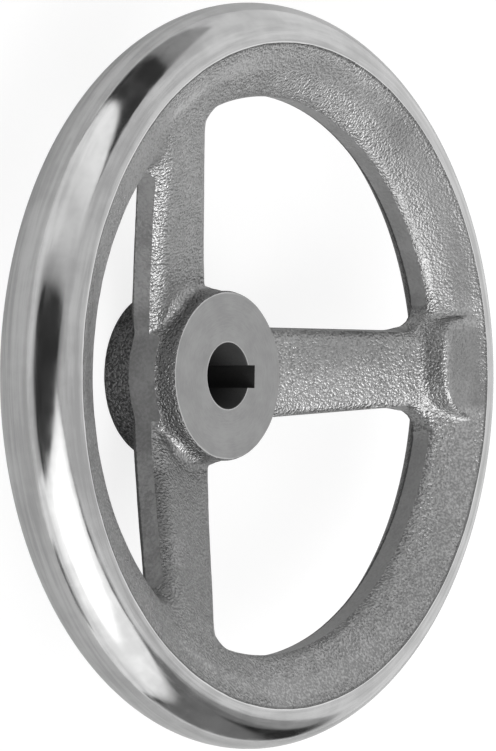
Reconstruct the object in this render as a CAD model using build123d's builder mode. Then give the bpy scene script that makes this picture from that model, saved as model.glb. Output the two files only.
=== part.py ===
"""Dished machine handwheel with three spokes, a keyed hub and an undrilled handle boss.

One grey iron casting, turned on the outside of its rim, on both hub faces and in its bore.
Millimetres.  Z is the wheel's axis and points to the front, the side that the operator faces.
The origin is on the axis at the hub's rear face, and the spoke that carries the boss is along X.
"""

import os
from math import radians, sqrt, tan

from build123d import *

os.makedirs("parts", exist_ok=True)

# Overall
wheel_diameter = 160.0
overall_height = 40.0  # hub's rear face to the rim's front crest

# Hub
hub_length = 20.0
hub_face_diameter = 36.0
hub_back_step = 0.2  # that the rear face's edge stands outside the front face's edge
hub_edge_break = 0.5
hub_swell = 0.3  # that the hub's radius gains from its front edge to the parting
hub_parting_height = 10.5
hub_root_radius = 3.0  # where the hub's side runs into the web's front
bore_diameter = 14.0
bore_edge_break = 0.25
keyway_width = 5.0
keyway_depth = 2.3  # beyond the bore's wall
keyway_angle = -3.0  # degrees from the boss's spoke

# Rim
rim_section_diameter = 19.0
turned_front_width = 9.0  # from the wheel's outside in to where the turning stops
rim_face_slope = 29.5  # degrees, the cast front inside the turned edge
rim_lip = 0.8  # that the cast inner face stands inside the turned section
rim_lip_draft = 9.0  # degrees, narrowing to the front

# Dished web, left as spokes and a collar round the hub
web_thickness = 7.9  # along the axis
web_front_at_hub = 14.4  # height of the web's front at the hub face's edge
web_front_drop = 0.6  # of the web's front, carried out to the rim's centre, below the crest
web_blend_start = 27.0  # in from the wheel's outside, where the web's front leaves its slope
web_blend_end = 18.5  # in from the wheel's outside, where it has run into the rim's front
web_back_at_hub = 8.1  # height of the web's level back round the hub
web_back_blend = 8.0  # width over which that back runs into the dished back
spoke_count = 3
spoke_width = 22.4  # across a spoke's sides, carried back to the hub's rear face level
spoke_draft = 5.5  # degrees, narrowing to the front
collar_step = 1.3  # that the collar stands outside the hub, carried back in the same way
collar_draft = 4.0  # degrees, narrowing to the front
rim_corner_radius = 6.5  # window corners at the rim
hub_corner_radius = 2.0  # window corners at the hub
front_edge_radius = 1.8
back_edge_radius = 0.5

# Handle boss
boss_inset = 12.0  # of its centre from the wheel's outside
boss_diameter = 23.0
boss_drop = 1.7  # of its flat below the rim's crest
boss_draft = 8.0  # degrees
boss_round_radius = 1.2  # round its top edge and its foot

wheel_radius = wheel_diameter / 2
bore_radius = bore_diameter / 2
hub_face_radius = hub_face_diameter / 2
hub_back_radius = hub_face_radius + hub_back_step
hub_side_radius = hub_face_radius + hub_edge_break + hub_swell
rim_section_radius = rim_section_diameter / 2
rim_centre_radius = wheel_radius - rim_section_radius
rim_centre_height = overall_height - rim_section_radius
turned_edge_radius = wheel_radius - turned_front_width
boss_height = overall_height - boss_drop
web_rise = overall_height - web_front_drop - web_front_at_hub
web_slope = web_rise / (rim_centre_radius - hub_face_radius)
web_root_radius = (bore_radius + hub_face_radius) / 2  # where the web starts, inside the hub's wall

# An edge this near to a surface lies on it
touching_distance = 0.01

# Sections are drawn in the middle of a window, where the seams of revolved faces do no harm
section_plane = Plane.XZ.rotated((0, 0, 180 / spoke_count))


def web_front(radius):
    """Height of the web's front at a radius."""
    return web_front_at_hub + (radius - hub_face_radius) * web_slope


def web_back(radius):
    """Height of the web's dished back at a radius."""
    return web_front(radius) - web_thickness


def rim_front(radius):
    """Height of the rim's cast front at a radius, inside the turned edge."""
    rise = sqrt(rim_section_radius**2 - (turned_edge_radius - rim_centre_radius) ** 2)
    turned_edge_height = rim_centre_height + rise
    return turned_edge_height - (turned_edge_radius - radius) * tan(radians(rim_face_slope))


def rim_inside(height):
    """Radius of the rim's cast inner face at a height."""
    lip_radius = rim_centre_radius - rim_section_radius - rim_lip
    return lip_radius + (rim_centre_height - height) * tan(radians(rim_lip_draft))


def collar_outside(height):
    """Radius of the collar at a height."""
    return hub_side_radius + collar_step - height * tan(radians(collar_draft))


def axis_distance(point):
    """Distance of a point from the wheel's axis."""
    return sqrt(point.X**2 + point.Y**2)


def above_web_middle(point):
    """Distance of a point above the middle of the web."""
    return point.Z - web_front(axis_distance(point)) + web_thickness / 2


def in_order(edges):
    """Edges in a fixed order, so that every build rounds them in the same way."""
    from_bottom = edges.sort_by(lambda edge: (edge @ 0.5).Z)
    return from_bottom.sort_by(lambda edge: (edge @ 0.5).X + 2 * (edge @ 0.5).Y)


def runs_upright(edge):
    """Whether an edge of a window runs from its foot to its top."""
    return abs((edge @ 1).Z - (edge @ 0).Z) > web_thickness


def on_web_front(edge):
    """Whether an edge runs along the web's front."""
    return min(above_web_middle(edge @ 0), above_web_middle(edge @ 1)) > 0


def on_web_back(edge):
    """Whether an edge runs along the web's back."""
    return max(above_web_middle(edge @ 0), above_web_middle(edge @ 1)) < 0


def on_hub_root(edge):
    """Whether an edge runs round the foot of the hub's side, below its broken edge."""
    round_hub = max(axis_distance(edge @ 0), axis_distance(edge @ 1)) < hub_side_radius
    return round_hub and max((edge @ 0).Z, (edge @ 1).Z) < hub_length - 2 * hub_edge_break


def on_window(edge):
    """Whether an edge lies on the wall of a window."""
    return windows.part.distance_to(edge @ 0.5) < touching_distance


with BuildPart() as window:
    # The opening next to the boss's spoke, as tall as the wheel
    upright = (Align.CENTER, Align.CENTER, Align.MIN)
    Cone(rim_inside(0), rim_inside(overall_height), overall_height, align=upright)
    Cone(
        collar_outside(0), collar_outside(overall_height), overall_height, align=upright, mode=Mode.SUBTRACT
    )
    with BuildSketch():
        with BuildLine():
            half_width = spoke_width / 2
            near_side = Line(
                (half_width / tan(radians(180 / spoke_count)), half_width), (wheel_diameter, half_width)
            )
            far_side = mirror(near_side, about=section_plane)
            Line(near_side @ 1, far_side @ 1)
        make_face()
    extrude(amount=overall_height, taper=-spoke_draft, mode=Mode.INTERSECT)
    corners = window.edges().filter_by(runs_upright).sort_by(lambda edge: axis_distance(edge @ 0.5))
    fillet(corners[-2:], radius=rim_corner_radius)
    fillet(corners[:2], radius=hub_corner_radius)

with BuildPart() as windows:
    with PolarLocations(0, spoke_count):
        add(window.part)

with BuildPart() as handwheel:
    # Rim and web as one body of revolution
    with BuildSketch(section_plane):
        with BuildLine():
            rim_circle = CenterArc(
                (rim_centre_radius, rim_centre_height), rim_section_radius, 0, 360, mode=Mode.PRIVATE
            )
            blend_start = wheel_radius - web_blend_start
            blend_end = wheel_radius - web_blend_end
            web_line = Line(
                (web_root_radius, web_front(web_root_radius)), (blend_start, web_front(blend_start))
            )
            rim_line = Line(
                (blend_end, rim_front(blend_end)), (turned_edge_radius, rim_front(turned_edge_radius))
            )
            Spline(web_line @ 1, rim_line @ 0, tangents=(web_line % 1, rim_line % 0))
            back_blend_end = hub_side_radius + web_back_blend
            back_line = IntersectingLine((back_blend_end, web_back(back_blend_end)), web_line % 0, rim_circle)
            ThreePointArc(rim_line @ 1, (wheel_radius, rim_centre_height), back_line @ 1)
            hub_line = Line((web_root_radius, web_back_at_hub), (hub_side_radius, web_back_at_hub))
            Spline(hub_line @ 1, back_line @ 0, tangents=(hub_line % 1, back_line % 0))
            Line(web_line @ 0, hub_line @ 0)
        make_face()
    revolve(axis=Axis.Z)
    add(windows.part, mode=Mode.SUBTRACT)
    window_edges = handwheel.edges().filter_by(on_window)
    fillet(in_order(window_edges.filter_by(on_web_front)), radius=front_edge_radius)
    fillet(in_order(window_edges.filter_by(on_web_back)), radius=back_edge_radius)

    # Hub
    with BuildSketch(section_plane):
        with BuildLine():
            Polyline(
                (bore_radius, 0),
                (hub_back_radius, 0),
                (hub_back_radius + hub_edge_break, hub_edge_break),
                (hub_side_radius, hub_parting_height),
                (hub_face_radius + hub_edge_break, hub_length - hub_edge_break),
                (hub_face_radius, hub_length),
                (bore_radius, hub_length),
                close=True,
            )
        make_face()
    revolve(axis=Axis.Z)
    hub_roots = handwheel.edges(Select.LAST).filter_by(on_web_front).filter_by(on_hub_root)
    fillet(in_order(hub_roots), radius=hub_root_radius)

    # Handle boss, on the front of the rim at the end of the spoke along X
    with BuildSketch(Plane.XY.offset(boss_height)):
        with Locations((wheel_radius - boss_inset, 0)):
            Circle(boss_diameter / 2)
        Circle(turned_edge_radius, mode=Mode.INTERSECT)
    extrude(amount=rim_centre_height - boss_height, taper=-boss_draft)
    boss_edges = handwheel.edges(Select.LAST)
    boss_roots = boss_edges.filter_by(GeomType.BSPLINE).filter_by(on_web_front)
    boss_rim = boss_edges.filter_by(GeomType.CIRCLE).sort_by(Axis.X)[0]
    fillet(in_order(boss_roots + [boss_rim]), radius=boss_round_radius)

    # Bore and keyway
    with Locations((0, 0, hub_length)):
        Hole(bore_radius)
    bore_edges = handwheel.edges(Select.LAST).filter_by(GeomType.CIRCLE)
    chamfer(bore_edges, length=bore_edge_break)
    with BuildSketch(Plane.XY.rotated((0, 0, keyway_angle))):
        with Locations((bore_radius + keyway_depth, 0)):
            Rectangle(2 * bore_radius, keyway_width, align=(Align.MAX, Align.CENTER))
    extrude(amount=hub_length, mode=Mode.SUBTRACT)

handwheel.part.label = "handwheel"
export_step(handwheel.part, "parts/handwheel.step")
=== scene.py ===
"""Looks of the machine handwheel: its sand-cast skin, turned rim and faced hub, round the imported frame.

The wheel is made the way the real one is: a raw casting, then the lathe's cuts, the ground windows, the
bore and the keyway, each with its own finish.  Lengths are in millimetres until a mesh is made.  The
wheel's axis is Z, its front is up, and the spoke that carries the boss lies along X.
"""

import bpy
import numpy as np
from math import atan2, cos, pi, radians, sin, sqrt, tan
from mathutils import Matrix, Vector


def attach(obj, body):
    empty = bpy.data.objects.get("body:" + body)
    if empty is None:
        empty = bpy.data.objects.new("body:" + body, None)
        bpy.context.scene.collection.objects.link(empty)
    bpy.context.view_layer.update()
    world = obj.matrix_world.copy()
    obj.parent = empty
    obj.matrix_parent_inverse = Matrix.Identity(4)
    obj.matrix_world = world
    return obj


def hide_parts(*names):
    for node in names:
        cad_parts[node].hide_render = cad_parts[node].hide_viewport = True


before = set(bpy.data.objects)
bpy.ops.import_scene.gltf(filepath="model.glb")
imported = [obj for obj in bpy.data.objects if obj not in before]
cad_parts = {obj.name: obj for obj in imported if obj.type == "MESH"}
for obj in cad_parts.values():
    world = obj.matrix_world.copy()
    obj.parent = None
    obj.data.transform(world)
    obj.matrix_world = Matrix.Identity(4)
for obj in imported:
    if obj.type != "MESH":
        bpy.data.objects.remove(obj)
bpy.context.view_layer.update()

MM = 0.001

# Sizes that the casting shares with the solids
RIM_RADIUS, RIM_HEIGHT, RIM_SECTION = 70.5, 30.5, 9.5
TURNED_EDGE = 71.0  # radius at which the turning stops on the front
TURNED_HEIGHT = RIM_HEIGHT + sqrt(RIM_SECTION**2 - (TURNED_EDGE - RIM_RADIUS) ** 2)
FACE_ANGLE = radians(29.5)  # of the rim's cast front
HUB_FACE, HUB_LENGTH = 18.0, 20.0
HUB_SIDE, HUB_PARTING, HUB_TAPER = 18.8, 10.5, 0.033  # radius and height at the parting, loss per mm
WEB_FRONT, WEB_BACK, WEB_THICKNESS = 14.4, 8.1, 7.9  # heights at the hub, thickness along the axis
WEB_SLOPE = 25.0 / 52.5  # rise over run, from the hub face's edge to the rim's centre
SPOKE_ANGLE = 2 * pi / 3
SPOKE_HALF_WIDTH, SPOKE_DRAFT = 11.2, radians(5.5)
LIP_RADIUS, LIP_DRAFT = 60.2, radians(9)  # the rim's cast inner face, at the rim's height
COLLAR_RADIUS, COLLAR_DRAFT = 20.1, radians(4)  # round the hub, at the height of its rear face
BOSS_PLACE, BOSS_RADIUS, BOSS_TOP, BOSS_DRAFT = 68, 11.5, 38.3, radians(8)
BORE_RADIUS, KEY_WIDTH, KEY_REACH, KEY_TURN = 7, 5.0, 9.3, radians(-3)

# What the casting has beyond the solids
LATHE_STOCK, FACE_STOCK = 0.6, 0.35  # on the rim and the hub's faces, which the lathe takes off again
GROUND_STOCK = 0.35  # on the windows' walls, ground off through the rounds along their edges
RIM_CORNER, HUB_CORNER = 6.5, 3.0  # radii of the windows' corners
FRONT_ROUND, REAR_ROUND, RING_ROUND = 2.2, 0.7, 1.8  # radii along the edges of the spokes and the ring
# The two spokes without the boss have broader rounds on their near sides, those toward -X
NEAR_FRONT, NEAR_REAR = 1.7, (0.8, 1.5)  # gain in front, and at the rear of the lower and upper spoke
NEAR_WIDTH = 4  # from a spoke's middle to where its rounds have all of the gain
NEAR_END, NEAR_FADE = 61, 5  # radius at which the ring's round has none of it, and the width of the change
FALL, FALL_START, FALL_WIDTH, FALL_REACH = 0.35, 66, 5, 1.2  # of the rim's cast front toward the windows
BOSS_CROWN, CROWN, CROWN_WIDTH = 1.5, 0.35, 9  # that the spokes' fronts fall toward their sides
BOSS_SQUARENESS = (2.3, 4.0, 2.0)  # powers of its outline: lower half, upper half, under the turned rim
HUB_FILL, HUB_FILL_GAIN = (0.4, 4.2), 0.55  # least and most radius of its root, gain per mm into a spoke
UNEVENNESS = ((0.05, 9), (0.03, 2.6))  # heights and widths of the waves in the skin
BROKEN_EDGE = 0.3  # of the bore

# Where its bodies end inside one another, and the rounds where they meet
BACK_BLEND, LEVEL_BACK_END = 1.2, 22  # of the level back into the dished back, radius of its end
SPOKE_END, BOSS_FOOT, COLLAR_TOP = 67, 31, 15.2
RING_END_ROUND, RIM_ROUND, SPOKE_END_ROUND = 0.1, 0.5, 2.0
SPOKE_FILLET, COLLAR_FILLET, BOSS_FILLET = 1.0, 0.6, 1.2
COLLAR_TOP_ROUND, COLLAR_BACK_ROUND, BOSS_ROUND, HUB_ROUND = 1.0, 0.7, 0.9, 1.1

SHARP_BEND = radians(50)  # past which an edge between machined faces is sharp


def round_max(a, b, radius):
    """The larger of two distances, with the convex edge between them rounded."""
    outside = np.hypot(np.maximum(a + radius, 0), np.maximum(b + radius, 0))
    return np.minimum(np.maximum(a, b), -radius) + outside


def round_min(a, b, radius):
    """The smaller of two distances, with the concave edge between them filled."""
    inside = np.hypot(np.maximum(radius - a, 0), np.maximum(radius - b, 0))
    return np.maximum(np.minimum(a, b), radius) - inside


def smooth_max(a, b, width):
    """The larger of two heights, with a smooth change over a width."""
    near = np.maximum(width - np.abs(a - b), 0) / width
    return np.maximum(a, b) + near * near * width / 4


def spoke_half_width(z):
    """Half of a spoke's width at a height."""
    return SPOKE_HALF_WIDTH - z * tan(SPOKE_DRAFT)


def lip_radius(z):
    """Radius of the rim's cast inner face at a height."""
    return LIP_RADIUS + (RIM_HEIGHT - z) * tan(LIP_DRAFT)


def collar_radius(z):
    """Radius of the collar round the hub at a height."""
    return COLLAR_RADIUS - z * tan(COLLAR_DRAFT)


def casting(p):
    """Signed distance to the raw casting at points p: below zero inside."""
    x, y, z = p[..., 0], p[..., 1], p[..., 2]
    r = np.hypot(x, y)
    angle = np.arctan2(y, x)
    turn = np.round(angle / SPOKE_ANGLE)
    angle = angle - SPOKE_ANGLE * turn
    along, across = r * np.cos(angle), r * np.sin(angle)
    near = np.clip(across * turn / NEAR_WIDTH, 0, 1)
    across = np.abs(across)
    front_round = FRONT_ROUND + NEAR_FRONT * near
    rear_round = REAR_ROUND + np.where(turn > 0, NEAR_REAR[1], NEAR_REAR[0]) * near
    near_ring = np.clip((NEAR_END - r) / NEAR_FADE, 0, 1)
    ring_round = RING_ROUND + (front_round - FRONT_ROUND) * near_ring

    # Walls, fronts and backs
    fall = FALL * np.clip((FALL_START - r) / FALL_WIDTH, 0, FALL_REACH) ** 2
    cone = (z - (TURNED_HEIGHT - (TURNED_EDGE - r) * tan(FACE_ANGLE)) + fall) * cos(FACE_ANGLE)
    web = WEB_FRONT + (r - HUB_FACE) * WEB_SLOPE
    slant = 1 / sqrt(1 + WEB_SLOPE**2)
    back = smooth_max(WEB_BACK, web - WEB_THICKNESS, BACK_BLEND) - z
    back = back * np.where(r > LEVEL_BACK_END, slant, 1.0)
    spoke_side = (across - spoke_half_width(z)) * cos(SPOKE_DRAFT) - GROUND_STOCK
    lip = (lip_radius(z) - r) * cos(LIP_DRAFT) - GROUND_STOCK
    collar = r - collar_radius(z) - GROUND_STOCK

    # The ring inside the turned section
    plan = round_min(spoke_side, lip, RIM_CORNER - GROUND_STOCK)
    plan = round_min(plan, collar, HUB_CORNER - GROUND_STOCK)
    ring = round_max(round_max(plan, cone, ring_round), back, rear_round)
    ring = round_max(ring, r - RIM_RADIUS, RING_END_ROUND)
    section = np.hypot(r - RIM_RADIUS, z - RIM_HEIGHT) - RIM_SECTION - LATHE_STOCK
    ring = np.minimum(ring, round_max(section, cone, RIM_ROUND))

    # The spokes and the collar
    crown = np.where(turn == 0, BOSS_CROWN, CROWN) * (across / CROWN_WIDTH) ** 2
    front = (z - web + crown) * slant
    spoke = round_max(round_max(spoke_side, front, front_round), back, rear_round)
    spoke = round_max(spoke, along - SPOKE_END, SPOKE_END_ROUND)
    body = round_min(ring, spoke, SPOKE_FILLET)
    collar = round_max(collar, z - COLLAR_TOP, COLLAR_TOP_ROUND)
    collar = round_max(collar, WEB_BACK - z, COLLAR_BACK_ROUND)
    body = round_min(body, collar, COLLAR_FILLET)

    # The boss
    lower, upper, outer = BOSS_SQUARENESS
    power = np.where(x < BOSS_PLACE, np.where(y > 0, upper, lower), outer)
    boss_r = (np.abs(x - BOSS_PLACE) ** power + np.abs(y) ** power) ** (1 / power)
    boss_side = (boss_r - BOSS_RADIUS - (BOSS_TOP - z) * tan(BOSS_DRAFT)) * cos(BOSS_DRAFT)
    boss = np.maximum(round_max(boss_side, z - BOSS_TOP, BOSS_ROUND), BOSS_FOOT - z)
    body = round_min(body, boss, BOSS_FILLET)

    # The hub
    hub_side = r - (HUB_SIDE - HUB_TAPER * np.abs(z - HUB_PARTING))
    hub_ends = np.abs(z - HUB_LENGTH / 2) - HUB_LENGTH / 2 - FACE_STOCK
    hub = round_max(hub_side, hub_ends, HUB_ROUND)
    fill = np.clip(HUB_FILL[0] - HUB_FILL_GAIN * spoke_side, *HUB_FILL)
    return round_min(body, hub, fill)


def gradient(p, step=0.02):
    """The gradient of the casting's distance at points p."""
    slope = np.empty_like(p)
    for axis in range(3):
        d = np.zeros(3)
        d[axis] = step
        slope[:, axis] = (casting(p + d) - casting(p - d)) / (2 * step)
    return slope


def surface_net(low, high, cell):
    """The casting's surface on a grid of cells between two corners: a point in each cell, and quads."""
    low, high = np.array(low, float), np.array(high, float)
    n = np.ceil((high - low) / cell).astype(int) + 1
    axes = [low[axis] + cell * np.arange(n[axis]) for axis in range(3)]
    distance = np.empty(n, np.float32)
    grid_x, grid_y = np.meshgrid(axes[0], axes[1], indexing="ij")
    for k, height in enumerate(axes[2]):
        distance[:, :, k] = casting(np.stack([grid_x, grid_y, np.full_like(grid_x, height)], -1))
    inside = distance < 0

    # Cells that the surface runs through
    corners = [(i, j, k) for i in (0, 1) for j in (0, 1) for k in (0, 1)]
    count = np.zeros(n - 1, np.int8)
    for i, j, k in corners:
        count += inside[i : n[0] - 1 + i, j : n[1] - 1 + j, k : n[2] - 1 + k]
    cells = np.argwhere((count > 0) & (count < 8))
    index = np.full(n - 1, -1, np.int64)
    index[tuple(cells.T)] = np.arange(len(cells))

    # A point in each, in the middle of where the surface crosses the cell's edges
    values = {corner: distance[tuple((cells + corner).T)] for corner in corners}
    total, hits = np.zeros((len(cells), 3)), np.zeros(len(cells))
    for a in corners:
        for axis in range(3):
            if a[axis]:
                continue
            b = tuple(v + (t == axis) for t, v in enumerate(a))
            crossed = (values[a] < 0) != (values[b] < 0)
            share = np.where(crossed, values[a] / np.where(crossed, values[a] - values[b], 1), 0)
            point = np.array(a, float) + np.zeros((len(cells), 3))
            point[:, axis] += share
            total += point * crossed[:, None]
            hits += crossed
    points = low + cell * (cells + total / hits[:, None])

    # A quad round each grid edge that it crosses
    quads = []
    for axis in range(3):
        u, v = (axis + 1) % 3, (axis + 2) % 3
        first, second = [slice(None)] * 3, [slice(None)] * 3
        first[axis], second[axis] = slice(0, -1), slice(1, None)
        a, b = inside[tuple(first)], inside[tuple(second)]
        edges = np.argwhere(a != b)
        within = (edges[:, u] > 0) & (edges[:, v] > 0)
        edges = edges[within & (edges[:, u] < n[u] - 1) & (edges[:, v] < n[v] - 1)]
        du, dv = np.eye(3, dtype=int)[u], np.eye(3, dtype=int)[v]
        quad = np.stack([index[tuple((edges - o).T)] for o in (0 * du, du, du + dv, dv)], 1)
        outward = a[tuple(edges.T)]
        quad[~outward] = quad[~outward][:, ::-1]
        quads.append(quad)

    # The points drawn onto the surface itself
    rounds, least_steepness, longest_step = 4, 0.2, 0.3
    for _ in range(rounds):
        slope = gradient(points)
        steepness = np.maximum((slope * slope).sum(1), least_steepness)
        points -= slope * np.clip(casting(points) / steepness, -longest_step, longest_step)[:, None]
    return points, np.concatenate(quads)


def waves(p, size, seed):
    """Smooth noise from -1 to 1 at points p, with features of a size."""
    side = 64  # of the table, which repeats
    table = np.random.default_rng(seed).uniform(-1, 1, (side, side, side))
    cell = np.floor(p / size).astype(int)
    t = p / size - cell
    t = t * t * (3 - 2 * t)
    total = 0
    for a in (0, 1):
        for b in (0, 1):
            for c in (0, 1):
                weight = (t[:, 0] if a else 1 - t[:, 0]) * (t[:, 1] if b else 1 - t[:, 1])
                weight = weight * (t[:, 2] if c else 1 - t[:, 2])
                place = (cell + (a, b, c)) % side
                total = total + weight * table[tuple(place.T)]
    return total


class Nodes:
    """A tree of nodes, with the few kinds that the finishes and the studio are made of."""

    def __init__(self, tree):
        self.tree = tree

    def new(self, kind):
        """A new node of a kind."""
        return self.tree.nodes.new(kind)

    def wire(self, socket, value):
        """Link a socket, or set it to a number or a grey level."""
        if not isinstance(value, (int, float)):
            self.tree.links.new(value, socket)
        elif socket.type == "RGBA":
            socket.default_value = (value, value, value, 1)
        else:
            socket.default_value = value

    def maths(self, operation, *values):
        """The result of an operation on sockets or numbers."""
        node = self.new("ShaderNodeMath")
        node.operation = operation
        for socket, value in zip(node.inputs, values):
            self.wire(socket, value)
        return node.outputs[0]

    def plus(self, a, b):
        return self.maths("ADD", a, b)

    def minus(self, a, b):
        return self.maths("SUBTRACT", a, b)

    def times(self, a, b):
        return self.maths("MULTIPLY", a, b)

    def most(self, a, b):
        return self.maths("MAXIMUM", a, b)

    def without(self, part):
        """What is left of 1."""
        return self.minus(1.0, part)

    def mean(self, a, b, share=0.5):
        """The share of a, and the rest of b."""
        return self.plus(self.times(a, share), self.times(b, 1 - share))

    def ramp(self, value, low, high, to_low=0.0, to_high=1.0):
        """A value's stretch from low to high, taken smoothly to new limits."""
        node = self.new("ShaderNodeMapRange")
        node.interpolation_type = "SMOOTHSTEP"
        self.wire(node.inputs["Value"], value)
        for name, number in zip(("From Min", "From Max", "To Min", "To Max"), (low, high, to_low, to_high)):
            node.inputs[name].default_value = number
        return node.outputs["Result"]

    def below(self, value, low, high):
        """1 where a value is under low, 0 where it is past high, and smooth between."""
        return self.ramp(value, low, high, 1.0, 0.0)

    def mix(self, share, base, other):
        """A grey level or colour, with a share of another."""
        node = self.new("ShaderNodeMix")
        node.data_type = "RGBA"
        self.wire(node.inputs["Factor"], share)
        self.wire(node.inputs["A"], base)
        self.wire(node.inputs["B"], other)
        return node.outputs["Result"]

    def place(self):
        """The surface's x, y, z and distance from the axis, in mm."""
        parts = self.new("ShaderNodeSeparateXYZ")
        self.wire(parts.inputs[0], self.new("ShaderNodeTexCoord").outputs["Object"])
        x, y, z = (self.maths("DIVIDE", output, MM) for output in parts.outputs)
        radius = self.maths("SQRT", self.plus(self.times(x, x), self.times(y, y)))
        return x, y, z, radius

    def round_axis(self, x, y, radius, stretch):
        """Two coordinates for marks that run round the axis, drawn out by a stretch."""
        return [self.times(self.maths("DIVIDE", axis, radius), RIM_RADIUS / stretch) for axis in (x, y)]

    def grain(self, size, detail=2.0, roughness=0.5, coordinates=None):
        """Noise from 0 to 1 with features of a size, in the part's own space or in coordinates in mm."""
        node = self.new("ShaderNodeTexNoise")
        node.inputs["Detail"].default_value = detail
        node.inputs["Roughness"].default_value = roughness
        if coordinates is None:
            node.inputs["Scale"].default_value = 1 / (size * MM)
            self.wire(node.inputs["Vector"], self.new("ShaderNodeTexCoord").outputs["Object"])
        else:
            node.inputs["Scale"].default_value = 1 / size
            joined = self.new("ShaderNodeCombineXYZ")
            for socket, value in zip(joined.inputs, coordinates):
                self.wire(socket, value)
            self.wire(node.inputs["Vector"], joined.outputs[0])
        return node.outputs["Fac"]

    def bump(self, height, depth, strength=1.0, normal=None):
        """The normal of a height from 0 to 1 over a depth in mm, on top of another normal."""
        node = self.new("ShaderNodeBump")
        node.inputs["Distance"].default_value = depth * MM
        self.wire(node.inputs["Strength"], strength)
        self.wire(node.inputs["Height"], height)
        if normal is not None:
            self.wire(node.inputs["Normal"], normal)
        return node.outputs["Normal"]


def new_material(name):
    """A material, its nodes and its shader."""
    material = bpy.data.materials.new(name)
    material.use_nodes = True
    return material, Nodes(material.node_tree), material.node_tree.nodes["Principled BSDF"]


def cast_skin():
    """Sand-cast grey iron, blasted: a sandy grain with a dull metal glint, with painted shade in its roots
    and behind.
    """
    material, n, shader = new_material("cast_skin")
    sand = n.grain(0.55, 1.0)
    cloud = n.grain(3.0)
    blotch = n.grain(14)
    tone = n.mean(sand, cloud, 0.8)
    drift = n.times(n.minus(cloud, 0.5), 1.6)
    x, y, z, radius = n.place()
    ragged = n.plus(radius, drift)

    # Places on the wheel, each from 0 to 1: in front of the dished back, in the hub's root, along the
    # turned edge, and off the middle of the rim's cast front
    # Behind the dished back, in the hub's root and along the turned edge the colour gets painted shade
    in_front = n.ramp(n.minus(z, n.times(radius, WEB_SLOPE)), -1.4, -0.8)
    shaded_hub_root = n.below(ragged, HUB_SIDE, HUB_SIDE + 1)
    turned_edge_shade = n.ramp(n.plus(radius, n.times(drift, 0.4)), TURNED_EDGE - 0.65, TURNED_EDGE - 0.3)
    off_cone = n.most(n.below(ragged, 64.0, 66.0), n.ramp(ragged, 68.0, 69.6))
    off_cone = n.most(off_cone, n.below(radius, 52.0, 58.0))

    # The boss's flat, painted darker, and the upper half of its spoke, darkened as painted shade
    boss = n.times(n.ramp(n.plus(x, drift), 56.5, 60.0), n.below(n.maths("ABSOLUTE", y), 8.0, 10.5))
    boss_spoke = n.times(n.ramp(x, 17.0, 30.0), n.ramp(x, 46.0, 54.0, 0.6, 0.0))
    upper_half = n.times(n.ramp(n.plus(y, drift), -2.0, 3.5), n.below(y, 10.0, 13.0))
    dark_boss_and_shaded_spoke = n.most(boss, n.times(boss_spoke, upper_half))

    # The near rounds of the two other spokes, with their distance from the spoke's middle
    # Painted highlight on the upper spoke's near round, painted shade on the lower spoke's
    from_upper = n.minus(n.times(x, -sin(SPOKE_ANGLE)), n.times(y, -cos(SPOKE_ANGLE)))
    from_lower = n.plus(n.times(x, -sin(SPOKE_ANGLE)), n.times(y, -cos(SPOKE_ANGLE)))
    lit_near_upper = n.times(n.ramp(from_upper, 5.0, 9.0), n.ramp(y, 18.0, 21.0, 0.0, 0.6))
    lit_near_upper = n.times(lit_near_upper, n.below(radius, 56.0, 60.0))
    shaded_near_lower = n.times(n.ramp(from_lower, 6.0, 9.5), n.ramp(y, -21.0, -18.0, 0.8, 0.0))
    shaded_near_lower = n.times(shaded_near_lower, n.below(radius, 54.0, 59.0))

    # The upper right of the rim's front and the lower spoke, both darkened as painted shade
    shaded_upper_right = n.times(n.ramp(x, 25.0, 45.0), n.ramp(y, 9.0, 20.0))
    shaded_lower_spoke = n.times(n.ramp(y, -22.0, -16.0, 0.3, 0.0), n.below(radius, 52.0, 62.0))

    # Colour, with painted light and shade; dark is the grey of the painted shade
    dark = 0.22
    # Painted light: the skin lighter toward +Y and darker toward -Y
    painted_lift = n.ramp(y, -55.0, 55.0, -0.06, 0.11)
    skin = n.mix(n.ramp(n.plus(tone, painted_lift), 0.3, 0.7), 0.27, 0.51)
    skin = n.mix(n.times(shaded_upper_right, 0.65), skin, dark)
    skin = n.mix(shaded_lower_spoke, skin, dark)
    skin = n.mix(lit_near_upper, skin, 0.56)
    skin = n.mix(shaded_near_lower, skin, dark)
    skin = n.mix(n.times(dark_boss_and_shaded_spoke, 0.58), skin, dark)
    skin = n.mix(shaded_hub_root, skin, dark)
    # Painted shade behind the dished back: the skin there nearly black
    rear_shade = n.mix(n.ramp(tone, 0.4, 0.6), 0.07, dark)
    skin = n.mix(in_front, rear_shade, skin)
    # Painted shade: a dark line on the skin along the turned edge
    n.wire(shader.inputs["Base Color"], n.mix(turned_edge_shade, skin, 0.20))
    shader.inputs["Metallic"].default_value = 0.9
    n.wire(shader.inputs["Roughness"], n.ramp(blotch, 0.3, 0.7, 0.26, 0.34))

    # Grain
    coarse = n.times(off_cone, n.without(n.times(dark_boss_and_shaded_spoke, 0.5)))
    coarse = n.plus(n.times(coarse, 0.42), 0.32)
    coarse = n.plus(coarse, n.times(n.most(shaded_near_lower, lit_near_upper), 0.35))
    coarse = n.plus(coarse, n.times(shaded_hub_root, 0.8))
    coarse = n.times(coarse, n.ramp(blotch, 0.35, 0.6, 0.7, 1.15))
    coarse = n.times(coarse, n.without(n.times(shaded_upper_right, 0.35)))
    n.wire(shader.inputs["Normal"], n.bump(sand, 0.55, coarse))
    return material


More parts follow.
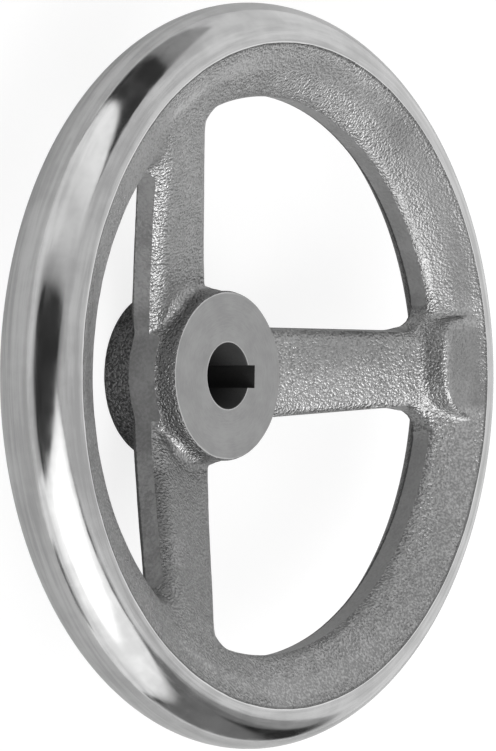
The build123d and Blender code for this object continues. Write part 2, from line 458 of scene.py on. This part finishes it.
def turned_rim():
    """The rim's polished turning: mirror-bright iron with fine marks round the axis and a painted highlight
    along its edge.
    """
    material, n, shader = new_material("turned_rim")
    x, y, z, radius = n.place()
    lathe_marks = (*n.round_axis(x, y, radius, 25.0), n.plus(radius, z))
    fine = n.grain(0.30, 2.0, 0.6, lathe_marks)
    wide = n.grain(1.3, 3.0, 0.6, lathe_marks)
    smudge = n.grain(7.0, 3.0, 0.6)
    metal = n.mix(n.ramp(n.mean(wide, smudge, 0.7), 0.36, 0.64), 0.47, 0.64)
    # Painted highlight: the turning lighter inside a radius just past the turned edge, a bright line along it
    edge = n.below(radius, TURNED_EDGE, TURNED_EDGE + 0.35)
    n.wire(shader.inputs["Base Color"], n.mix(edge, metal, 0.85))
    shader.inputs["Metallic"].default_value = 1.0
    n.wire(shader.inputs["Roughness"], n.ramp(fine, 0.3, 0.7, 0.08, 0.17))
    n.wire(shader.inputs["Normal"], n.bump(wide, 0.014, 1.0, n.bump(fine, 0.004)))
    return material


def faced_hub():
    """The hub's faced ends: matt turned iron with faint rings, with painted highlights along its edges."""
    material, n, shader = new_material("faced_hub")
    x, y, z, radius = n.place()
    side, front = n.round_axis(x, y, radius, 40.0)
    rings = n.grain(0.28, 2.0, 0.6, (side, front, radius))
    cloud = n.grain(5.0, 3.0)
    metal = n.mix(n.ramp(n.mean(rings, cloud), 0.3, 0.7), 0.30, 0.38)
    ragged = n.plus(radius, n.times(n.minus(cloud, 0.5), 0.5))
    # Painted highlights: a light line round the face's outer edge on its -X side, and one round the bore
    outer_edge_highlight = n.times(n.ramp(ragged, 17.75, HUB_FACE), n.below(side, -0.2, 0.9))
    edges = n.most(outer_edge_highlight, n.below(ragged, 7.4, 7.6))
    n.wire(shader.inputs["Base Color"], n.mix(edges, metal, 0.55))
    shader.inputs["Metallic"].default_value = 0.5
    n.wire(shader.inputs["Roughness"], n.ramp(rings, 0.3, 0.7, 0.42, 0.55))
    n.wire(shader.inputs["Normal"], n.bump(rings, 0.01))
    return material


def bored_hole():
    """The bore and the keyway: machined iron, its colour nearly black as painted shade inside the hole."""
    material, n, shader = new_material("bored")
    tool_marks = n.grain(0.4)
    # Painted shade: a nearly black colour
    n.wire(shader.inputs["Base Color"], n.mix(tool_marks, 0.035, 0.065))
    n.wire(shader.inputs["Roughness"], n.ramp(tool_marks, 0.3, 0.7, 0.35, 0.5))
    shader.inputs["Specular IOR Level"].default_value = 0.2
    n.wire(shader.inputs["Normal"], n.bump(tool_marks, 0.01))
    return material


def ground_flank():
    """The windows' walls, ground back: smoother than the skin, with painted shade along their rear edge and
    near the hub, and painted light near the rim.
    """
    material, n, shader = new_material("ground_flank")
    marks = n.grain(0.7)
    cloud = n.grain(5.0, 3.0)
    x, y, z, radius = n.place()
    metal = n.mix(n.ramp(n.mean(marks, cloud), 0.35, 0.65), 0.24, 0.36)
    # Painted shade near the hub
    metal = n.mix(n.ramp(radius, 23.0, 29.0, 0.30, 0.0), metal, 0.12)
    # Painted light near the rim
    metal = n.mix(n.ramp(radius, 54.0, 60.0, 0.0, 0.35), metal, 0.50)
    # Painted shade along the rear edge, nearly black
    forward = n.plus(n.minus(z, n.times(radius, WEB_SLOPE)), n.times(marks, 0.4))
    n.wire(shader.inputs["Base Color"], n.mix(n.ramp(forward, -1.3, -1.0), 0.09, metal))
    shader.inputs["Metallic"].default_value = 0.5
    n.wire(shader.inputs["Roughness"], n.ramp(cloud, 0.3, 0.7, 0.36, 0.48))
    n.wire(shader.inputs["Normal"], n.bump(marks, 0.16))
    return material


def new_object(name, points, faces, materials=(), slots=None):
    """An object in the scene, its mesh from points in mm and from faces, each in a material's slot."""
    mesh = bpy.data.meshes.new(name)
    mesh.from_pydata((np.asarray(points) * MM).tolist(), [], [list(map(int, face)) for face in faces])
    for material in materials:
        mesh.materials.append(material)
    if slots is not None:
        mesh.polygons.foreach_set("material_index", slots)
    obj = bpy.data.objects.new(name, mesh)
    bpy.context.scene.collection.objects.link(obj)
    return obj


def lathe(name, profile, steps, materials, slots):
    """A closed body of revolution from a profile of (radius, z) that starts and ends on the axis."""
    rings = np.asarray(profile, float)[1:-1]
    angle = 2 * pi * np.arange(steps) / steps
    rows = [np.stack([r * np.cos(angle), r * np.sin(angle), np.full(steps, z)], 1) for r, z in rings]
    points = np.concatenate(rows + [[[0, 0, profile[0][1]], [0, 0, profile[-1][1]]]])
    last = (len(rings) - 1) * steps
    bottom, top = last + steps, last + steps + 1
    faces = []
    for s in range(steps):
        t = (s + 1) % steps
        faces.append((bottom, t, s))
        faces += [(k + s, k + t, k + steps + t, k + steps + s) for k in range(0, last, steps)]
        faces.append((top, last + s, last + t))
    return new_object(name, points, faces, materials, slots * steps)


def loft(name, levels, material):
    """An upright body through outlines of (x, y), counter-clockwise, each at its height."""
    count, last = len(levels[0][1]), len(levels) - 1
    points = [(x, y, z) for z, outline in levels for x, y in outline]
    faces = [tuple(range(count))[::-1], tuple(range(last * count, last * count + count))]
    for k in range(0, last * count, count):
        for i in range(count):
            j = (i + 1) % count
            faces.append((k + i, k + j, k + count + j, k + count + i))
    return new_object(name, points, faces, [material])


def arc(centre, start, end, steps):
    """Points round a centre from start to end, the short way, both ends with them."""
    a, b = np.array(start) - centre, np.array(end) - centre
    radius, first = np.hypot(*a), atan2(a[1], a[0])
    swing = (atan2(b[1], b[0]) - first + pi) % (2 * pi) - pi
    angles = first + swing * np.linspace(0, 1, steps + 1)
    return [tuple(np.array(centre) + radius * np.array((cos(t), sin(t)))) for t in angles]


def turned_about(points, angle):
    """Points of (x, y), turned about the axis."""
    turn = Matrix.Rotation(angle, 2)
    return [tuple(turn @ Vector(point)) for point in points]


def window_outline(z, middle):
    """A window at a height, counter-clockwise, its middle at an angle from the X axis."""
    rim_steps, rim_corner_steps, hub_corner_steps, collar_steps = 40, 14, 8, 12
    width, outer, inner = spoke_half_width(z), lip_radius(z), collar_radius(z)
    along = np.array((cos(SPOKE_ANGLE / 2), sin(SPOKE_ANGLE / 2)))
    aside = np.array((sin(SPOKE_ANGLE / 2), -cos(SPOKE_ANGLE / 2)))

    def corner(distance, radius):
        """The centre of a corner at a distance from the axis, and where it meets the spoke's side."""
        offset = width + radius
        place = sqrt(distance**2 - offset**2)
        return along * place + aside * offset, along * place + aside * width

    rim_centre, rim_foot = corner(outer - RIM_CORNER, RIM_CORNER)
    hub_centre, hub_foot = corner(inner + HUB_CORNER, HUB_CORNER)
    on_rim = rim_centre * outer / (outer - RIM_CORNER)
    on_collar = hub_centre * inner / (inner + HUB_CORNER)
    half = [(outer, 0)]
    half += arc((0, 0), (outer, 0), on_rim, rim_steps)[1:-1]
    half += arc(rim_centre, on_rim, rim_foot, rim_corner_steps)
    half += arc(hub_centre, hub_foot, on_collar, hub_corner_steps)
    half += arc((0, 0), on_collar, (inner, 0), collar_steps)[1:-1]
    half += [(inner, 0)]
    return turned_about(half + [(x, -y) for x, y in half[-2:0:-1]], middle)


def machine(obj, tool, operation):
    """Cut an object with a tool, whose finish goes to the cut faces, and remove the tool."""
    modifier = obj.modifiers.new(operation, "BOOLEAN")
    modifier.operation = operation
    modifier.solver = "MANIFOLD"
    modifier.material_mode = "TRANSFER"
    modifier.object = tool
    bpy.context.view_layer.update()
    graph = bpy.context.evaluated_depsgraph_get()
    mesh = bpy.data.meshes.new_from_object(obj.evaluated_get(graph))
    obj.modifiers.clear()
    old = obj.data
    obj.data = mesh
    bpy.data.meshes.remove(old)
    bpy.data.objects.remove(tool)


def read(items, attribute, kind, width=1):
    """An attribute of a mesh's items as an array."""
    values = np.empty(len(items) * width, kind)
    items.foreach_get(attribute, values)
    return values


def sharpen(mesh, finishes):
    """Smooth faces, with sharp edges between finishes and where machined faces meet at an angle."""
    finish = read(mesh.polygons, "material_index", np.int32)
    if len(np.unique(finish)) < len(finishes):
        raise RuntimeError("a machining cut failed")
    mesh.polygons.foreach_set("use_smooth", np.ones(len(mesh.polygons), bool))
    normal = read(mesh.polygons, "normal", float, 3).reshape(-1, 3)
    loops = np.diff(np.append(read(mesh.polygons, "loop_start", int), len(mesh.loops)))
    face = np.repeat(np.arange(len(mesh.polygons)), loops)

    # The two faces at each edge
    edge = read(mesh.loops, "edge_index", int)
    order = np.argsort(edge, kind="stable")
    first = np.searchsorted(edge[order], np.arange(len(mesh.edges)))
    one, other = face[order[first]], face[order[np.minimum(first + 1, len(order) - 1)]]
    bent = (normal[one] * normal[other]).sum(1) < cos(SHARP_BEND)
    sharp = (finish[one] != finish[other]) | (bent & (finish[one] != 0))
    mesh.attributes.new("sharp_edge", "BOOLEAN", "EDGE").data.foreach_set("value", sharp)


cell = 0.56
reach, lowest, highest = 81.5, -1.2, 42.5  # of the grid, clear of the casting on every side
points, quads = surface_net((-reach, -reach, lowest), (reach, reach, highest), cell)
normals = gradient(points)
normals /= np.linalg.norm(normals, axis=1)[:, None]
unevenness = sum(height * waves(points, size, seed) for seed, (height, size) in enumerate(UNEVENNESS, 1))
points = points + normals * unevenness[:, None]
finishes = [cast_skin(), turned_rim(), faced_hub(), bored_hole(), ground_flank()]
skin, rim, faced, bored, flank = finishes
wheel = new_object("handwheel_casting", points, quads, [skin])

# Turned: from the hub's rear face round the rim's section to its front, and the hub's front face
rear_crease = (61.57, 27.25)  # radius and height at which the dished back meets the rim's section
start = atan2(rear_crease[1] - RIM_HEIGHT, rear_crease[0] - RIM_RADIUS) + 2 * pi
end = 2 * pi + radians(95)  # just past the crest
sweep = np.linspace(start, end, 56)
section = [(RIM_RADIUS + RIM_SECTION * cos(a), RIM_HEIGHT + RIM_SECTION * sin(a)) for a in sweep]
clear_height, clear_radius, clear_behind = 45, 21, 52  # above the rim, round the hub, behind the web
envelope = [(0, 0), (clear_behind, 0), *section, (section[-1][0], clear_height)]
envelope += [(clear_radius, clear_height), (clear_radius, HUB_LENGTH), (0, HUB_LENGTH)]

# A finish for each stretch of that envelope, the section's rear inner side left as cast
as_rim, as_faced, as_skin = 0, 1, 2
least_cosine = -0.55  # of the angles round the section that the lathe's tool reaches
slots = [as_faced] * 2
slots += [as_skin if cos(a) < least_cosine else as_rim for a in sweep[1:]]
slots += [as_rim] * 2 + [as_faced] * 2
machine(wheel, lathe("envelope", envelope, 384, [rim, faced, skin], slots), "INTERSECT")

# Ground: the windows' walls
cutter_heights = np.linspace(-2, 44, 7)  # from behind the wheel to in front of it
for middle in (SPOKE_ANGLE / 2, pi, -SPOKE_ANGLE / 2):
    levels = [(z, window_outline(z, middle)) for z in cutter_heights]
    machine(wheel, loft("window", levels, flank), "DIFFERENCE")

# Bored and slotted
past = 2  # that the cutter runs past the hub's faces, widening to break the edges
flare = BORE_RADIUS + past + BROKEN_EDGE
bore = [(0, -past), (flare, -past), (BORE_RADIUS, BROKEN_EDGE)]
bore += [(BORE_RADIUS, HUB_LENGTH - BROKEN_EDGE), (flare, HUB_LENGTH + past), (0, HUB_LENGTH + past)]
machine(wheel, lathe("bore", bore, 128, [bored], [0] * (len(bore) - 1)), "DIFFERENCE")
half_key = KEY_WIDTH / 2
key = [(0, -half_key), (KEY_REACH, -half_key), (KEY_REACH, half_key), (0, half_key)]
key = turned_about(key, KEY_TURN)
machine(wheel, loft("key", [(-1, key), (HUB_LENGTH + 1, key)], bored), "DIFFERENCE")
sharpen(wheel.data, finishes)

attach(wheel, "root")
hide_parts("handwheel")

# The camera, at the photograph's viewing angle
STAR_TURN = Matrix.Rotation(radians(-1.66), 3, "Z")  # of the view and the studio about the wheel's axis
TILT = radians(51.817)  # of the view from the horizontal
CAMERA_PLACE = Vector((-547.6, 0.06, 456.1))
FOCAL_LENGTH, PICTURE_HEIGHT, SENSOR = 3221.59, 751, 36  # in pixels, in pixels, in mm
camera = bpy.data.objects.new("camera", bpy.data.cameras.new("camera"))
bpy.context.scene.collection.objects.link(camera)
right = STAR_TURN @ Vector((cos(TILT), 0, sin(TILT)))
up = STAR_TURN @ Vector((0, 1, 0))
back = STAR_TURN @ Vector((-sin(TILT), 0, cos(TILT)))
place = STAR_TURN @ (CAMERA_PLACE * MM)
camera.matrix_world = Matrix.Translation(place) @ Matrix((right, up, back)).transposed().to_4x4()
camera.data.lens = FOCAL_LENGTH * SENSOR / PICTURE_HEIGHT
camera.data.clip_end = 50
bpy.context.scene.camera = camera

# The floor: pale grey as the wheel reflects it, and white to the camera with the wheel's faint shadow
material, n, shader = new_material("floor")
n.tree.nodes.remove(shader)
reflected = n.new("ShaderNodeBsdfDiffuse")
n.wire(reflected.inputs["Color"], 0.66)
shadowed = n.new("ShaderNodeBsdfDiffuse")
n.wire(shadowed.inputs["Color"], 0.25)
glow = n.new("ShaderNodeEmission")
n.wire(glow.inputs["Strength"], 0.82)
seen = n.new("ShaderNodeAddShader")
n.wire(seen.inputs[0], shadowed.outputs[0])
n.wire(seen.inputs[1], glow.outputs[0])
either = n.new("ShaderNodeMixShader")
n.wire(either.inputs[0], n.new("ShaderNodeLightPath").outputs["Is Camera Ray"])
n.wire(either.inputs[1], reflected.outputs[0])
n.wire(either.inputs[2], seen.outputs[0])
n.wire(n.tree.nodes["Material Output"].inputs["Surface"], either.outputs[0])
floor_radius, floor_sides = 240, 96
disc = [2 * pi * i / floor_sides for i in range(floor_sides)]
disc = [(floor_radius * cos(a), floor_radius * sin(a), 0) for a in disc]
floor = new_object("floor", disc, [range(floor_sides)], [material])

# The studio: panels of light and dark in a world of soft light, each laid over those before it.  The
# rows give a panel's strength, its edges' softness, and its corners as (longitude, latitude) in degrees,
# counter-clockwise as the wheel sees them.
SOFT_LIGHT = 0.80
PANELS = [
    # The wall beyond the wheel and the ceiling over it
    (0.90, 0.20, [(-30, -35), (55, -35), (50, 50), (-28, 50)]),
    (0.72, 0.10, [(-100, 62), (-30, 45), (40, 45), (110, 62), (180, 72)]),
    # The large lamp: its dark frame and bright sheet, both in two halves, its foot, its hot core, and the
    # bright strip over the frame
    (0.08, 0.02, [(-151, -6), (-84, -6), (-82, 69.5), (-92, 71.8), (-120, 75.8), (-152, 74.8), (178, 63)]),
    (0.08, 0.02, [(-100, -6), (-78, -6), (-50, 49.5), (-98, 71.8)]),
    (1.50, 0.02, [(-151, -8), (-88, -8), (-87, 66.3), (-120, 72), (-150, 71), (-177, 60)]),
    (1.50, 0.02, [(-100, -8), (-80, -8), (-57, 53.5), (-98, 68)]),
    (1.10, 0.09, [(-151, -14), (-82, -14), (-84, 4), (-150, 4)]),
    (4.20, 0.15, [(-142, 24), (-102, 22), (-98, 54), (-142, 58)]),
    (1.00, 0.05, [(-80, 71.5), (-60, 62), (-42, 48.5), (-37, 52), (-80, 75.5)]),
    # The dark opening to that lamp's left
    (
        0.22,
        0.025,
        [(-82, -6), (-50, -8), (-37, -9), (-29, 6), (-31, 31), (-39, 44), (-48, 51), (-59, 54), (-75, 17)],
    ),
    (0.42, 0.03, [(-38, 12), (-29, 6), (-31, 31), (-39, 44), (-48, 51)]),
    (0.03, 0.04, [(-45, -6), (-36, -8), (-30, 2), (-40, 16), (-52, 33)]),
    (0.08, 0.012, [(-83, -8), (-79, -8), (-74, 14), (-78, 8)]),
    # The second lamp, and the dark round the camera
    (0.92, 0.10, [(100, -10), (150, -16), (138, 56), (97, 61), (84, 54)]),
    (1.20, 0.12, [(94, -10), (122, -14), (116, 50), (97, 60), (84, 50)]),
    (0.40, 0.13, [(150, 2), (168, 2), (-146, 2), (-152, 40), (-170, 64), (170, 78), (136, 80), (143, 50)]),
    (
        0.05,
        0.04,
        [(155, 11), (168, 8), (-151, 9), (-157, 37), (-164, 52), (-174, 60), (160, 66), (144, 66), (149, 52)],
    ),
    # The second lamp's frame and the dark opening to its right
    (0.30, 0.012, [(76, 47), (88, 56), (97, 61), (96, 63.5), (86, 59), (74, 50)]),
    (0.05, 0.025, [(80, -9), (101, -9), (89.5, 57), (75, 48), (66, 38), (68, 5)]),
    (0.40, 0.02, [(70, -8), (81, -9), (80.7, 0.5), (76.8, 19.7), (67, 36), (60, 10), (64, -1)]),
    # Dark lines low under both lamps
    (0.45, 0.01, [(101, -8), (137, -22), (136, -17), (101, -4)]),
    (0.20, 0.02, [(-135, -4), (-131, -16), (-116, -13), (-106, -6)]),
]


def direction(longitude, latitude):
    """The unit vector toward a place in the studio."""
    around, rise = radians(longitude), radians(latitude)
    return STAR_TURN @ Vector((cos(rise) * cos(around), cos(rise) * sin(around), sin(rise)))


def panel_mask(n, toward, softness, corners):
    """A panel's share of the view toward a direction, from 0 to 1."""
    places = [direction(*corner) for corner in corners]
    mask = 1
    for a, b in zip(places, places[1:] + places[:1]):
        inward = n.new("ShaderNodeVectorMath")
        inward.operation = "DOT_PRODUCT"
        n.wire(inward.inputs[0], toward)
        inward.inputs[1].default_value = a.cross(b).normalized()
        mask = n.times(mask, n.ramp(inward.outputs["Value"], -softness, softness))
    return mask


world = bpy.data.worlds.new("studio")
bpy.context.scene.world = world
world.use_nodes = True
n = Nodes(world.node_tree)
toward = n.new("ShaderNodeTexCoord").outputs["Generated"]
light = SOFT_LIGHT
for strength, softness, corners in PANELS:
    mask = panel_mask(n, toward, softness, corners)
    light = n.plus(light, n.times(mask, n.minus(strength, light)))
camera_ray = n.new("ShaderNodeLightPath").outputs["Is Camera Ray"]
background = n.tree.nodes["Background"]
n.wire(background.inputs["Color"], 1.0)
n.wire(background.inputs["Strength"], n.plus(n.times(light, n.without(camera_ray)), camera_ray))

bpy.context.scene.view_settings.view_transform = "Standard"
